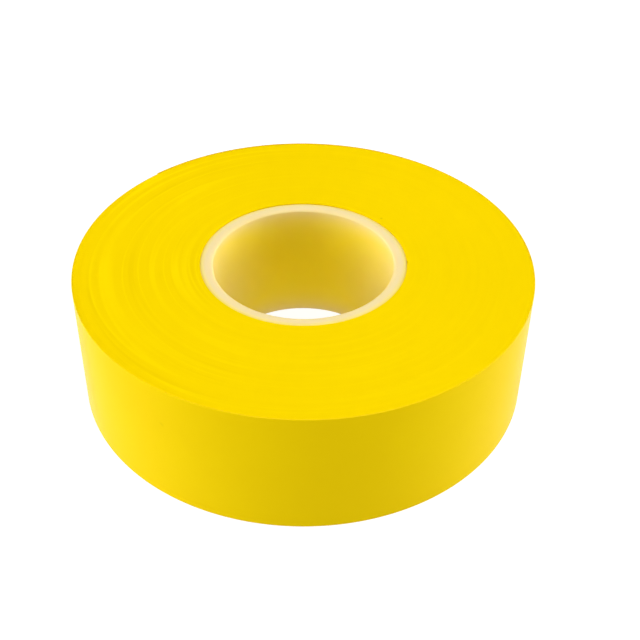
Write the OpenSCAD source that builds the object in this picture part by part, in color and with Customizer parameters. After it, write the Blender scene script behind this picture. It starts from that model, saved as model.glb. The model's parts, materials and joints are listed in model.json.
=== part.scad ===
// Roll of vinyl electrical tape on a plastic core, lying flat, with its free end on the outside.
// +Z runs along the core. The origin is on the core's axis, in the plane that the roll rests on.

/* [Tape] */
// Width of the tape, which is also the height of the roll
tape_w = 19; // [9:0.5:50]
// Length of tape on the roll, in metres
tape_len = 20; // [5:1:33]
// Thickness of the vinyl film
film_t = 0.1; // [0.08:0.01:0.16]
// Thickness of the adhesive coat on the film's inner side
adhesive_t = 0.03; // [0.02:0.005:0.05]

/* [Core] */
// Diameter of the core's bore
bore_d = 25.4; // [20:0.2:38]
// Thickness of the core's wall
core_wall = 1.8; // [1:0.1:3]
// Bevel on the four edges of the core's rims
rim_bevel = 0.4; // [0.1:0.05:0.6]

/* [Free end] */
// Angle round the roll, from +X, at which the tape can lift off
lift_angle = 75; // [10:5:100]
// Angle that each stiff piece of the free end spans between two bends
piece_angle = 10; // [6:1:12]
// Gap between the free end's adhesive and the turn under it
lift_gap = 0.01; // [0.005:0.005:0.015]

/* [Hidden] */
$fn = 360;

vinyl_yellow = [0.98, 0.84, 0.02];
adhesive_amber = [0.86, 0.66, 0.08];
core_ivory = [0.93, 0.87, 0.66];

turn_t = film_t + adhesive_t;
bore_r = bore_d / 2;
core_r = bore_r + core_wall;
// The tape's edge area is its length times its thickness, and it fills the ring outside the core
roll_r = sqrt(core_r * core_r + tape_len * 1000 * turn_t / PI);
// The last turn and the free end lie one on the other, outside the inner turns
last_turn_r = roll_r - 2 * turn_t;
// How far a cut runs past the faces it goes through
overcut = 1;

// The tape winds as half turns round two centres in turn, half a thickness apart, so it climbs by
// one thickness a turn with no step. Half turn 0 starts the last turn, at +X, and goes by +Y to -X.
function half_turn_r(half) = last_turn_r + half * turn_t / 2;
function half_turn_x(half) = half % 2 * turn_t / 2;

// A stretch of one half turn, between two heights above the turn below it
module layer(half, from, to, low, high) {
    translate([half_turn_x(half), 0, 0])
        rotate_extrude(angle = to - from, start = from)
            translate([half_turn_r(half) + low, 0])
                square([high - low, tape_w]);
}

// Everything inside one half turn, down to its centre
module half_disc(half) {
    translate([half_turn_x(half), 0, 0])
        rotate_extrude(angle = 180, start = 180 * half)
            square([half_turn_r(half), tape_w]);
}

// One whole turn from +X, and on to the place where the tape can lift
module last_turn(low, high) {
    layer(0, 0, 180, low, high);
    layer(1, 180, 360, low, high);
    layer(2, 0, lift_angle, low, high);
}

// One stiff piece of the free end, counted from the place where the tape lifts
module free_end(piece, low, high) {
    from = lift_angle + (piece - 1) * piece_angle;
    layer(2, from, from + piece_angle, low, high);
}

module core() {
    color(core_ivory)
        rotate_extrude()
            polygon([
                [bore_r, rim_bevel], [bore_r + rim_bevel, 0],
                [core_r - rim_bevel, 0], [core_r, rim_bevel],
                [core_r, tape_w - rim_bevel], [core_r - rim_bevel, tape_w],
                [bore_r + rim_bevel, tape_w], [bore_r, tape_w - rim_bevel],
            ]);
}

module inner_turns() {
    color(vinyl_yellow)
        difference() {
            union() {
                half_disc(0);
                half_disc(1);
            }
            translate([0, 0, -overcut])
                cylinder(r = core_r, h = tape_w + 2 * overcut);
        }
}

module last_turn_film() {
    color(vinyl_yellow) last_turn(adhesive_t, turn_t);
}

module last_turn_adhesive() {
    color(adhesive_amber) last_turn(0, adhesive_t);
}

module free_end_film(piece) {
    color(vinyl_yellow) free_end(piece, adhesive_t, turn_t);
}

module free_end_adhesive(piece) {
    color(adhesive_amber) free_end(piece, lift_gap, adhesive_t);
}

core();
inner_turns();
last_turn_film();
last_turn_adhesive();
free_end_film(1);  // free_end_film_1
free_end_film(2);  // free_end_film_2
free_end_film(3);  // free_end_film_3
free_end_film(4);  // free_end_film_4
free_end_film(5);  // free_end_film_5
free_end_film(6);  // free_end_film_6
free_end_adhesive(1);  // free_end_adhesive_1
free_end_adhesive(2);  // free_end_adhesive_2
free_end_adhesive(3);  // free_end_adhesive_3
free_end_adhesive(4);  // free_end_adhesive_4
free_end_adhesive(5);  // free_end_adhesive_5
free_end_adhesive(6);  // free_end_adhesive_6
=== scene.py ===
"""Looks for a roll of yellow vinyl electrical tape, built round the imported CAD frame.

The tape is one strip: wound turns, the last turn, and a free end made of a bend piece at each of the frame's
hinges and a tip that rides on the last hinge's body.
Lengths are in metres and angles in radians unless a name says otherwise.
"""
import json
import math
import bpy
import numpy as np
from mathutils import Matrix, Vector


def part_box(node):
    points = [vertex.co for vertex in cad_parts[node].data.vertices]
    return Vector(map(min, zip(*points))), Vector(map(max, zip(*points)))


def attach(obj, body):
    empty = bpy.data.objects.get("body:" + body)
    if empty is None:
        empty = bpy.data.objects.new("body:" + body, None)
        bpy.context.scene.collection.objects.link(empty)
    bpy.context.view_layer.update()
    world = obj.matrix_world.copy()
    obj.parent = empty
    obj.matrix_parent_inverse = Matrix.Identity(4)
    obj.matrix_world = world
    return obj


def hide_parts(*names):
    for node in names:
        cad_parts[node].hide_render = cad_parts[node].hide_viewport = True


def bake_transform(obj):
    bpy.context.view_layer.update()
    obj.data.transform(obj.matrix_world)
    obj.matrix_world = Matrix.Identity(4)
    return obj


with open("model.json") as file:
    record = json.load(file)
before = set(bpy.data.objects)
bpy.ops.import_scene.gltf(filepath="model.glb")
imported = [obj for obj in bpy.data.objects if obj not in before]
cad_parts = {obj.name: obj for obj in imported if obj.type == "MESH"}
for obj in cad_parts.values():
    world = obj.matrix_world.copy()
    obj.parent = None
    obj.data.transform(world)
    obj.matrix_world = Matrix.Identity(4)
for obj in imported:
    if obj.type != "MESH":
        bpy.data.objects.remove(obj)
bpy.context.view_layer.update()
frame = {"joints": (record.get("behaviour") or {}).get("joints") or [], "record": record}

MM = 0.001

# ---------------------------------------------------------------- sizes, all read from the frame

core_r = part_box("core")[1].x
tape_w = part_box("core")[1].z
bore_r = next(m for m in frame["record"]["mounts"] if m["name"] == "core_bore")["dims"]["r_mm"] * MM
roll_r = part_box("last_turn_film")[1].x
last_turn_r = -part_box("inner_turns")[0].x
turn_t = (roll_r - last_turn_r) / 2
adhesive_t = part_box("last_turn_adhesive")[1].x - last_turn_r - turn_t
hinges = [math.atan2(j["pos_m"][1], j["pos_m"][0]) for j in frame["joints"]]
piece_angle = hinges[1] - hinges[0]
free_bodies = [j["child"] for j in frame["joints"]]
inner_turns = int((last_turn_r - core_r) / turn_t)
wound_pitch = (last_turn_r - core_r) / inner_turns
# Angles along the last winding where the strip comes free of the roll, and where its tip starts.
free_from = math.tau + hinges[0] - piece_angle / 2
tip_from = math.tau + hinges[-1] + piece_angle / 2

# ---------------------------------------------------------------- shape details that the CAD leaves out

# How far the free end stands off the turn below, and how much more its cut end curls up.
LOOSE_GAP = 0.055 * MM
CUT_END_CURL = 0.02 * MM
# How far the wound tape's edges sit inside the roll's flat sides: the mean, the part that varies
# over several turns, and the part that varies from turn to turn.
EDGE_DIP, BROAD_DIP, WANDER_DIP = 0.022 * MM, 0.011 * MM, 0.0035 * MM
TOP_SEED, UNDERSIDE_SEED = 11, 23
# How much deeper the adhesive's edges sit than the film's.
ADHESIVE_RECESS = 0.012 * MM
# Rounding of the long edges of the last turn and the free end.
FILM_ROUND, ADHESIVE_ROUND = 0.07 * MM, 0.01 * MM
# Angle between mesh edges that shows as a crease.
CREASE = math.radians(35)
# Mesh steps: points a turn, points on a rounding, and the angle between points on the last turn
# and on the free end.
WOUND_STEPS, CORE_STEPS = 120, 288
EDGE_ROUND_POINTS, RIM_ROUND_POINTS = 4, 11
LAST_TURN_STEP, FREE_END_STEP = math.radians(0.75), math.radians(0.5)

# ---------------------------------------------------------------- colours and light levels

BLACK, WHITE = (0, 0, 0, 1), (1, 1, 1, 1)
VINYL, VINYL_DEEP = (0.815, 0.582, 0.0008, 1), (0.785, 0.545, 0.0006, 1)
SMUDGE = (0.55, 0.38, 0.002, 1)
# The wound edges' own colour, the lighter one of thin painted highlight lines and the deeper one of bands of
# painted shade.
VINYL_EDGES = (0.826, 0.602, 0.0005, 1), (0.865, 0.655, 0.001, 1), (0.78, 0.55, 0.0005, 1)
ADHESIVE_EDGES = (0.82, 0.58, 0.0005, 1), (0.85, 0.63, 0.001, 1), (0.76, 0.52, 0.0005, 1)
ADHESIVE, ADHESIVE_DEEP = (0.88, 0.59, 0.012, 1), (0.84, 0.55, 0.010, 1)
IVORY = (0.775, 0.635, 0.35, 1)
# Painted golden colour of the tape's yellow glowing through the core's wall, in two tones.
LIT_CORE, LIT_CORE_BRIGHT = (0.91, 0.715, 0.014, 1), (0.93, 0.735, 0.018, 1)
TABLE, TABLE_PALE = (0.24, 0.24, 0.24, 1), (0.26, 0.26, 0.26, 1)

# Each light is a lobe round its direction: its strength, and the power that narrows it.
SIDE_LIGHT, SIDE_POWER = 8.1, 6.0
TOP_LIGHT, TOP_POWER = 2.4, 6.0
# How far the pair of side lights is turned round the roll.
SIDE_TURN = math.radians(-7.6)
# The table's own light, and how much more of it the camera sees.
FLOOR_GLOW, FLOOR_EXTRA = 0.57, 0.3
FLOOR_SIZE = 8

# ---------------------------------------------------------------- camera

# Where it stands, seen from the roll's centre, and how it is turned.
CAMERA_RISE, CAMERA_AWAY = math.radians(38.68), 5.1 * roll_r
CAMERA_DOWN, CAMERA_PAN, CAMERA_ROLL = math.radians(39.03), math.radians(0.847), math.radians(0.25)
LENS_MM, SENSOR_MM = 63.5, 36

# ---------------------------------------------------------------- mesh helpers


def finish_mesh(name, verts, faces):
    """A mesh object with smooth shading that breaks at creases."""
    mesh = bpy.data.meshes.new(name)
    mesh.from_pydata(verts.tolist(), [], faces)
    mesh.validate()
    mesh.polygons.foreach_set("use_smooth", [True] * len(mesh.polygons))
    mesh.set_sharp_from_angle(angle=CREASE)
    obj = bpy.data.objects.new(name, mesh)
    bpy.context.scene.collection.objects.link(obj)
    return obj


def sweep(name, loops, closed=False):
    """A closed skin over a row of loops with the same number of points, each running the same way."""
    count, size = loops.shape[:2]
    rows = count if closed else count - 1
    i = np.arange(rows)[:, None] * size
    nxt = (np.arange(rows)[:, None] + 1) % count * size
    j = np.arange(size)[None, :]
    k = (j + 1) % size
    faces = np.stack([i + j, i + k, nxt + k, nxt + j], -1).reshape(-1, 4).tolist()
    if not closed:
        faces.append(list(range(size))[::-1])
        faces.append(list(range((count - 1) * size, count * size)))
    return finish_mesh(name, loops.reshape(-1, 3), faces)


def polar(angle, r, z):
    """The point at an angle round the roll's axis."""
    return r * math.cos(angle), r * math.sin(angle), z


def winding(angles, start_r, pitch):
    """Points on a winding's inner face, as distance r and centre offset x0, for angles from its start.

    The strip winds as half turns round two centres in turn, as the CAD solids do, so it climbs by
    one pitch a turn."""
    half_turns = np.floor(angles / math.pi)
    return start_r + half_turns * pitch / 2, np.mod(half_turns, 2) * pitch / 2


def strip(name, angles, section, start_r, pitch):
    """A solid strip along the winding. section gives the loop of (height over the turn below, z) points."""
    r, x0 = winding(angles, start_r, pitch)
    loops = []
    for lift, z in section(angles):
        x, y = x0 + (r + lift) * np.cos(angles), (r + lift) * np.sin(angles)
        loops.append(np.stack([x, y, z + 0 * angles], -1))
    return sweep(name, np.stack(loops, 1))


# ---------------------------------------------------------------- the wound turns


def smooth_noise(x, seed, step):
    """Smooth noise between -1 and 1 along x, with a new random value every step."""
    count = 4096
    values = np.random.default_rng(seed).uniform(-1, 1, count)
    u = x / step
    i = np.floor(u).astype(int)
    t = u - i
    t = t * t * (3 - 2 * t)
    return values[i % count] * (1 - t) + values[(i + 1) % count] * t


def edge_dip(turns, seed):
    """How far the tape's edge sits inside the roll's flat side, along the winding: broad steps
    over several turns, and a little wander from turn to turn."""
    broad = smooth_noise(turns, seed, step=7.3) + 0.6 * smooth_noise(turns, seed + 1, step=2.9)
    wander = smooth_noise(turns, seed + 2, step=0.43)
    return EDGE_DIP + BROAD_DIP * broad + WANDER_DIP * wander


def wound_section(low, high, recess):
    """The loop of a wound layer between two heights above the turn below, its edges set in by recess.

    The first turn's underside follows the core instead of a turn below."""
    def section(angles):
        r, x0 = winding(angles, core_r, wound_pitch)
        under = np.where(angles < math.tau, core_r - r - x0 * np.cos(angles), 0) if low == 0 else low
        loop = []
        for lift in (under, high):
            dip = edge_dip(angles / math.tau + lift / wound_pitch, TOP_SEED) + recess
            loop.append((lift, tape_w - dip))
        for lift in (high, under):
            dip = edge_dip(angles / math.tau + lift / wound_pitch, UNDERSIDE_SEED) + recess
            loop.append((lift, dip))
        return loop
    return section


def wound_turns():
    """The inner turns: film and adhesive as two strips wound together."""
    angles = np.linspace(0, inner_turns * math.tau, WOUND_STEPS * inner_turns + 1)
    film_section = wound_section(adhesive_t, wound_pitch, 0)
    glue_section = wound_section(0, adhesive_t, ADHESIVE_RECESS)
    film = strip("wound_film", angles, film_section, core_r, wound_pitch)
    glue = strip("wound_adhesive", angles, glue_section, core_r, wound_pitch)
    return film, glue


# ---------------------------------------------------------------- the last turn and the free end


def layer_section(low, high, round_r):
    """The loop of a layer that lies flat, its outer long edges rounded by round_r. One more point on
    the outer face, close to each edge, keeps the rounding's shading near the edge."""
    shading_band = 0.3 * MM
    over = [(high, tape_w - shading_band)]
    over += [(high - round_r * (1 - math.cos(a)), tape_w - round_r * (1 - math.sin(a)))
             for a in np.linspace(0, math.pi / 2, EDGE_ROUND_POINTS)]
    under = [(lift, tape_w - z) for lift, z in over[::-1]]
    return [(low, tape_w)] + over[::-1] + under[::-1] + [(low, 0.0)]


def stand_off(angles):
    """How far the strip stands off the turn below: not at all where it is stuck, rising just before it
    comes free to a hair, as room for the dip under each bend, and a little more at the curled tip."""
    loose = np.clip((angles - free_from) / piece_angle + 1, 0, 1)
    curled = np.clip((angles - tip_from) / (piece_angle / 2), 0, 1)
    return LOOSE_GAP * loose ** 2 * (3 - 2 * loose) + CUT_END_CURL * curled ** 2


def lay(name, start, end, low, high, step):
    """A stretch of film or adhesive between two winding angles."""
    count = max(2, round((end - start) / step)) + 1
    flat = layer_section(low, high, FILM_ROUND if high > adhesive_t else ADHESIVE_ROUND)

    def section(angles):
        return [(lift + stand_off(angles), z) for lift, z in flat]
    return strip(name, np.linspace(start, end, count), section, last_turn_r, turn_t)


# ---------------------------------------------------------------- the core


def core_profile():
    """Half section of the core: a plain tube wall, a hair shorter than the tape is wide, with crowned rims.

    One more point on each wall, close to each rim, keeps the rounding's shading near the rim."""
    end = tape_w - 0.08 * MM
    bore_round_w, bore_round_h = 0.9 * MM, 0.32 * MM
    outer_round_w, outer_round_h = 0.6 * MM, 0.12 * MM
    bore_shading, outer_shading = 0.06 * tape_w, 0.02 * tape_w
    bends = np.linspace(math.pi / 2, 0, RIM_ROUND_POINTS)
    top = [(bore_r + bore_round_w * (1 - math.sin(a)), end - bore_round_h * (1 - math.cos(a))) for a in bends]
    top += [(core_r - outer_round_w * (1 - math.sin(a)), end - outer_round_h * (1 - math.cos(a)))
            for a in bends[::-1]]
    outside = [(core_r, tape_w - outer_shading), (core_r, outer_shading)]
    bottom = [(r, tape_w - z) for r, z in top[::-1]]
    inside = [(bore_r, bore_shading), (bore_r, tape_w - bore_shading)]
    return top + outside + bottom + inside


def core_tube():
    around = np.linspace(0, math.tau, CORE_STEPS, endpoint=False)[:, None]
    r, z = np.array(core_profile()).T[:, None, :]
    loops = np.stack([r * np.cos(around), r * np.sin(around), z + 0 * around], -1)
    return sweep("core_tube", loops, closed=True)


# ---------------------------------------------------------------- materials


class Graph:
    """A short way to write shader nodes."""

    def __init__(self, name, world=False):
        self.owner = (bpy.data.worlds if world else bpy.data.materials).new(name)
        self.owner.use_nodes = True
        self.tree = self.owner.node_tree
        self.tree.nodes.clear()

    def add(self, kind, **settings):
        node = self.tree.nodes.new(kind)
        for key, value in settings.items():
            setattr(node, key, value)
        return node

    def put(self, socket, value):
        if isinstance(value, bpy.types.NodeSocket):
            self.tree.links.new(value, socket)
        else:
            socket.default_value = value

    def math(self, operation, *values):
        node = self.add("ShaderNodeMath", operation=operation)
        for socket, value in zip(node.inputs, values):
            self.put(socket, value)
        return node.outputs[0]

    def mix(self, share, a, b):
        node = self.add("ShaderNodeMix", data_type="RGBA")
        self.put(node.inputs["Factor"], share)
        self.put(node.inputs["A"], a)
        self.put(node.inputs["B"], b)
        return node.outputs["Result"]

    def remap(self, value, source, target=(0.0, 1.0), kind="SMOOTHSTEP"):
        """value carried from the source range to the target range, and held at the target's ends."""
        node = self.add("ShaderNodeMapRange", interpolation_type=kind)
        for key, v in (("Value", value), ("From Min", source[0]), ("From Max", source[1]),
                       ("To Min", target[0]), ("To Max", target[1])):
            self.put(node.inputs[key], v)
        return node.outputs["Result"]

    def noise(self, vector, scale, detail, rough=0.5):
        node = self.add("ShaderNodeTexNoise")
        for key, v in (("Vector", vector), ("Scale", scale), ("Detail", detail), ("Roughness", rough)):
            self.put(node.inputs[key], v)
        return node.outputs["Fac"]

    def place(self):
        """Object coordinates, which start at the centre of the roll's underside."""
        return self.add("ShaderNodeTexCoord").outputs["Object"]

    def split(self, vector):
        node = self.add("ShaderNodeSeparateXYZ")
        self.put(node.inputs[0], vector)
        return node.outputs

    def axis_distance(self, x, y):
        """Distance from the roll's axis."""
        return self.math("SQRT", self.math("ADD", self.math("MULTIPLY", x, x), self.math("MULTIPLY", y, y)))

    def spot(self, place, at, size):
        """1 inside a small ragged mark round a point, 0 outside it."""
        gap = self.add("ShaderNodeVectorMath", operation="DISTANCE")
        self.put(gap.inputs[0], place)
        self.put(gap.inputs[1], at)
        ragged = self.math("MULTIPLY", self.noise(place, scale=2500, detail=2), size)
        away = self.math("ADD", gap.outputs["Value"], ragged)
        return self.remap(away, (0.5 * size, 1.2 * size), (1.0, 0.0))

    def vector(self, x, y, z):
        node = self.add("ShaderNodeCombineXYZ")
        for socket, value in zip(node.inputs, (x, y, z)):
            self.put(socket, value)
        return node.outputs[0]

    def bump(self, height, strength, distance):
        node = self.add("ShaderNodeBump")
        self.put(node.inputs["Height"], height)
        self.put(node.inputs["Strength"], strength)
        self.put(node.inputs["Distance"], distance)
        return node.outputs[0]

    def surface(self, **values):
        shader = self.add("ShaderNodeBsdfPrincipled")
        for key, value in values.items():
            self.put(shader.inputs[key.replace("_", " ")], value)
        out = self.add("ShaderNodeOutputMaterial")
        self.tree.links.new(shader.outputs[0], out.inputs["Surface"])
        return self.owner


def film_material():
    """Outer face of the film: satin calendered vinyl, with fine grain and one faint scuff."""
    g = Graph("vinyl_film")
    place = g.place()
    grain = g.noise(place, scale=5200, detail=3)
    cloud = g.noise(place, scale=90, detail=2)
    scuff = g.spot(place, polar(math.radians(-123.5), roll_r, 0.69 * tape_w), 0.7 * MM)
    color = g.mix(g.remap(cloud, (0.35, 0.65), (0.0, 0.35)), VINYL, VINYL_DEEP)
    color = g.mix(g.math("MULTIPLY", scuff, 0.25), color, SMUDGE)
    return g.surface(
        Base_Color=color,
        Roughness=g.remap(cloud, (0.3, 0.7), (0.20, 0.26)),
        IOR=1.08,
        Specular_Tint=BLACK,
        Normal=g.bump(grain, strength=0.25, distance=0.004 * MM),
    )


def edge_material(name, color, light, painted_shade):
    """The strip's cut edges on the roll's flat sides: matt, with broad soft bands of painted shade, and a few
    thin lines of painted highlight where a turn stands proud. The painted light and shade fade in and out
    round the roll and are strongest on its left, where the light falls across the turns' small steps."""
    g = Graph(name)
    place = g.place()
    x, y, _ = g.split(place)
    r = g.axis_distance(x, y)

    def rings(across, along, detail):
        """Noise that changes fast across the turns and slowly along them, both given per metre."""
        point = [g.math("MULTIPLY", v, rate) for v, rate in ((r, across), (x, along), (y, along))]
        return g.noise(g.vector(*point), scale=1.0, detail=detail, rough=0.6)

    # Where the painted light and shade show: in patches round the roll, and strongest on its left, where the
    # light falls across the turns' small steps.
    patch = g.remap(g.noise(place, scale=60, detail=2), (0.35, 0.7), (0.3, 1.0))
    left = g.math("MULTIPLY", patch, g.remap(x, (-0.8 * roll_r, 0.2 * roll_r), (1.0, 0.3)))
    bands = g.remap(rings(across=1300.0, along=30.0, detail=2), (0.47, 0.8))
    off_middle = g.math("ABSOLUTE", g.math("SUBTRACT", rings(across=500.0, along=12.0, detail=1), 0.5))
    lines = g.remap(off_middle, (0.0, 0.06), (1.0, 0.0))
    # Bands of painted shade, then thin lines of painted highlight where a turn stands proud.
    tint = g.mix(g.math("MULTIPLY", bands, left), color, painted_shade)
    tint = g.mix(g.math("MULTIPLY", lines, left), tint, light)
    speck = g.spot(place, polar(math.radians(43), 0.485 * roll_r, tape_w), 0.4 * MM)
    tint = g.mix(g.math("MULTIPLY", speck, 0.7), tint, SMUDGE)
    return g.surface(
        Base_Color=tint,
        Roughness=0.6,
        Specular_IOR_Level=0.0,
        Normal=g.bump(g.noise(place, scale=3000, detail=2), strength=0.3, distance=0.004 * MM),
    )


def adhesive_material():
    """Clear rubber adhesive over the film's inner face: glossy, a little darker, slightly uneven."""
    g = Graph("adhesive")
    coat = g.noise(g.place(), scale=700, detail=3)
    return g.surface(
        Base_Color=g.mix(g.remap(coat, (0.3, 0.7)), ADHESIVE, ADHESIVE_DEEP),
        Roughness=g.remap(coat, (0.3, 0.7), (0.16, 0.28)),
        Specular_IOR_Level=0.5,
        Normal=g.bump(coat, strength=0.2, distance=0.01 * MM),
    )


def core_material():
    """Translucent ivory plastic, with the light through it painted into its colour: the tape's yellow glowing
    through the wall is a painted golden colour, and the plastic's own pale colour shows at the rims and, as
    painted light, fades from them down the wall and shows where the wall is seen at a slant."""
    g = Graph("core_plastic")
    place = g.place()
    x, y, z = g.split(place)
    # The rim's own pale colour, carried down the wall as painted light scattered in from the rim, fading over
    # a few millimetres and weaker towards the core's outer face.
    depth = g.math("MINIMUM", z, g.math("SUBTRACT", tape_w, z))
    rim = g.math("POWER", math.e, g.math("DIVIDE", depth, -1.5 * MM))
    rim = g.math("MULTIPLY", rim, g.remap(g.axis_distance(x, y), (core_r - 0.9 * MM, core_r), (1.0, 0.5)))
    # Painted pale light where the wall is seen at a slant.
    slant = g.remap(g.add("ShaderNodeLayerWeight").outputs["Facing"], (0.22, 1.0), (0.0, 0.7), "LINEAR")
    # The tape's yellow glowing through the wall, painted as a golden colour in two tones that vary at random.
    cloud = g.noise(place, scale=160, detail=2)
    painted_glow = g.mix(g.remap(cloud, (0.3, 0.7)), LIT_CORE, LIT_CORE_BRIGHT)
    return g.surface(
        Base_Color=g.mix(g.math("MAXIMUM", rim, slant), painted_glow, IVORY),
        Roughness=0.3,
        IOR=1.38,
        Specular_Tint=BLACK,
        Subsurface_Weight=0.3,
        Subsurface_Radius=(1.0, 0.7, 0.25),
        Subsurface_Scale=1.0 * MM,
        Normal=g.bump(g.noise(place, scale=1500, detail=2), strength=0.1, distance=0.01 * MM),
    )


def floor_material():
    """A white table lit from below, so that shadows on it stay faint. It shows a little brighter to the
    camera than it lights the roll, as an overexposed product table does."""
    g = Graph("pale_table")
    seen = g.add("ShaderNodeLightPath").outputs["Is Camera Ray"]
    return g.surface(
        Base_Color=g.mix(g.noise(g.place(), scale=40, detail=2), TABLE, TABLE_PALE),
        Roughness=0.9,
        Specular_IOR_Level=0.0,
        Emission_Color=WHITE,
        Emission_Strength=g.math("ADD", FLOOR_GLOW, g.math("MULTIPLY", seen, FLOOR_EXTRA)),
    )


# ---------------------------------------------------------------- the object


def dress(obj, material, nodes):
    """Gives a piece its material and hides the CAD nodes that it stands for."""
    obj.data.materials.append(material)
    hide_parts(*nodes)
    return obj


def build_core():
    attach(dress(core_tube(), core_material(), ["core"]), "roll")


def build_wound_turns():
    film, glue = wound_turns()
    film_edges = edge_material("vinyl_edges", *VINYL_EDGES)
    glue_edges = edge_material("adhesive_edges", *ADHESIVE_EDGES)
    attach(dress(film, film_edges, ["inner_turns"]), "roll")
    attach(dress(glue, glue_edges, ["inner_turns"]), "roll")


def build_outer_layer(name, low, high, material):
    """One layer of the last turn and the free end: a stuck length, a bend at each hinge, and the tip."""
    half = piece_angle / 2
    stuck = lay(f"outer_turn_{name}", 0, free_from, low, high, LAST_TURN_STEP)
    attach(dress(stuck, material, [f"last_turn_{name}"]), "roll")
    for n, hinge in enumerate(hinges):
        middle = math.tau + hinge
        bend = lay(f"free_end_bend_{name}_{n + 1}", middle - half, middle + half, low, high, FREE_END_STEP)
        dress(bend, material, [f"free_end_{name}_{n + 1}"])
        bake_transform(bend)
    tip = lay(f"free_end_tip_{name}", tip_from, tip_from + half, low, high, FREE_END_STEP)
    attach(dress(tip, material, [f"free_end_{name}_{len(hinges)}"]), free_bodies[-1])


# ---------------------------------------------------------------- the studio


def floor():
    bpy.ops.mesh.primitive_grid_add(x_subdivisions=8, y_subdivisions=8, size=FLOOR_SIZE)
    plane = bpy.context.object
    plane.name = "table"
    plane.data.materials.append(floor_material())


def surround():
    """Plain white to the camera. To everything else, a broad light on each side and a weaker one above."""
    g = Graph("studio", world=True)
    turn = g.add("ShaderNodeVectorRotate", rotation_type="Z_AXIS")
    g.put(turn.inputs["Vector"], g.add("ShaderNodeTexCoord").outputs["Generated"])
    g.put(turn.inputs["Angle"], SIDE_TURN)
    x, _, z = g.split(turn.outputs[0])
    sides = g.math("MULTIPLY", g.math("POWER", g.math("ABSOLUTE", x), SIDE_POWER), SIDE_LIGHT)
    above = g.math("MULTIPLY", g.math("POWER", g.math("MAXIMUM", z, 0.0), TOP_POWER), TOP_LIGHT)
    seen = g.add("ShaderNodeLightPath").outputs["Is Camera Ray"]
    light = g.math("MULTIPLY", g.math("ADD", sides, above), g.math("SUBTRACT", 1.0, seen))
    back = g.add("ShaderNodeBackground")
    g.put(back.inputs["Color"], WHITE)
    g.put(back.inputs["Strength"], g.math("ADD", seen, light))
    out = g.add("ShaderNodeOutputWorld")
    g.tree.links.new(back.outputs[0], out.inputs["Surface"])
    bpy.context.scene.world = g.owner


def camera():
    """A moderate lens, looking down on the roll from the front, with the roll a little left of the middle."""
    data = bpy.data.cameras.new("camera")
    data.sensor_width = SENSOR_MM
    data.lens = LENS_MM
    data.clip_start, data.clip_end = 0.01, 20
    cam = bpy.data.objects.new("camera", data)
    bpy.context.scene.collection.objects.link(cam)
    cam.location = (0, -CAMERA_AWAY * math.cos(CAMERA_RISE), tape_w / 2 + CAMERA_AWAY * math.sin(CAMERA_RISE))
    turn = Matrix.Rotation(math.pi / 2 - CAMERA_DOWN, 4, "X") @ Matrix.Rotation(-CAMERA_PAN, 4, "Y")
    cam.rotation_euler = (turn @ Matrix.Rotation(CAMERA_ROLL, 4, "Z")).to_euler()
    bpy.context.scene.camera = cam


build_core()
build_wound_turns()
build_outer_layer("film", adhesive_t, turn_t, film_material())
build_outer_layer("adhesive", 0, adhesive_t, adhesive_material())
floor()
surround()
camera()
bpy.context.scene.view_settings.view_transform = "Standard"
